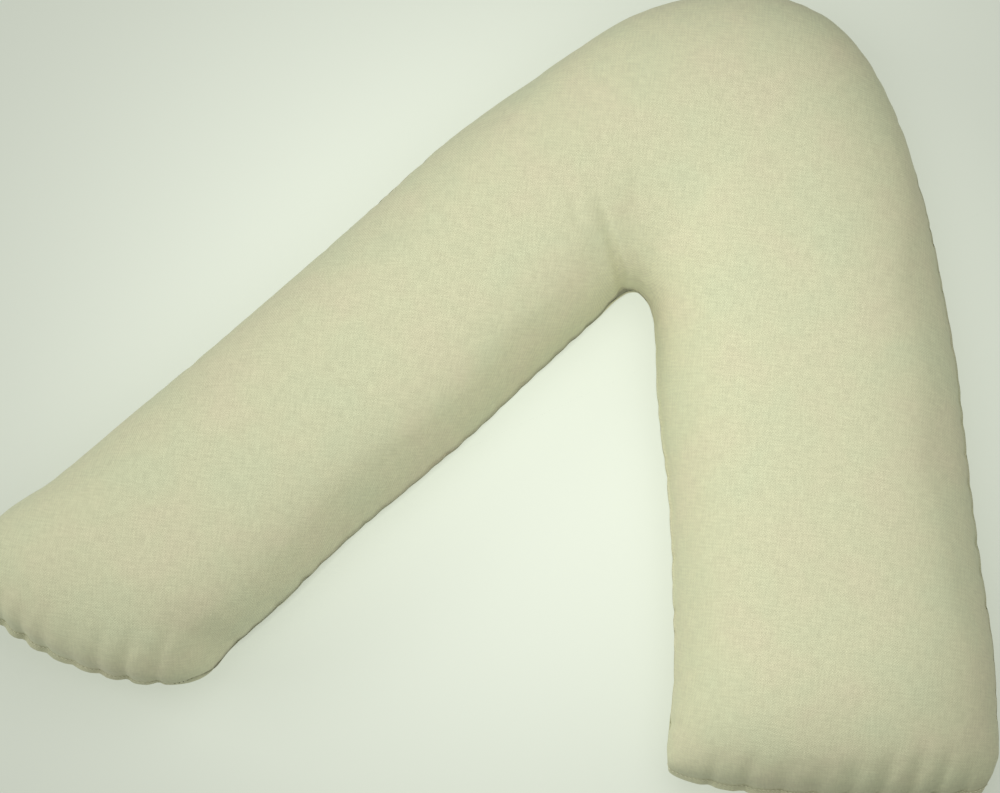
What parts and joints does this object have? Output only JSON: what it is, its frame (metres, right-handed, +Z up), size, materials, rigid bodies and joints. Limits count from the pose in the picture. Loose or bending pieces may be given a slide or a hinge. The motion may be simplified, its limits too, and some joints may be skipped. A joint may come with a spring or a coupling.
{
  "type": "v shaped pillow",
  "caption": "Filled V shaped support pillow in plain cotton, two V cut panels sewn round with gathered arm ends, lying on its back.",
  "frame": {"origin": "middle of the footprint's box, on the surface that the pillow lies on", "axes": "+X from the narrow arm to the wide arm, +Y from the opening between the arms to the bend, +Z up"},
  "size_m": [0.9714, 0.8374, 0.1684],
  "materials": {
    "cotton": "plain woven cotton, matt, pale sage cream"
  },
  "bodies": {
    "root": {"pillow": "cotton"}
  },
  "joints": []
}
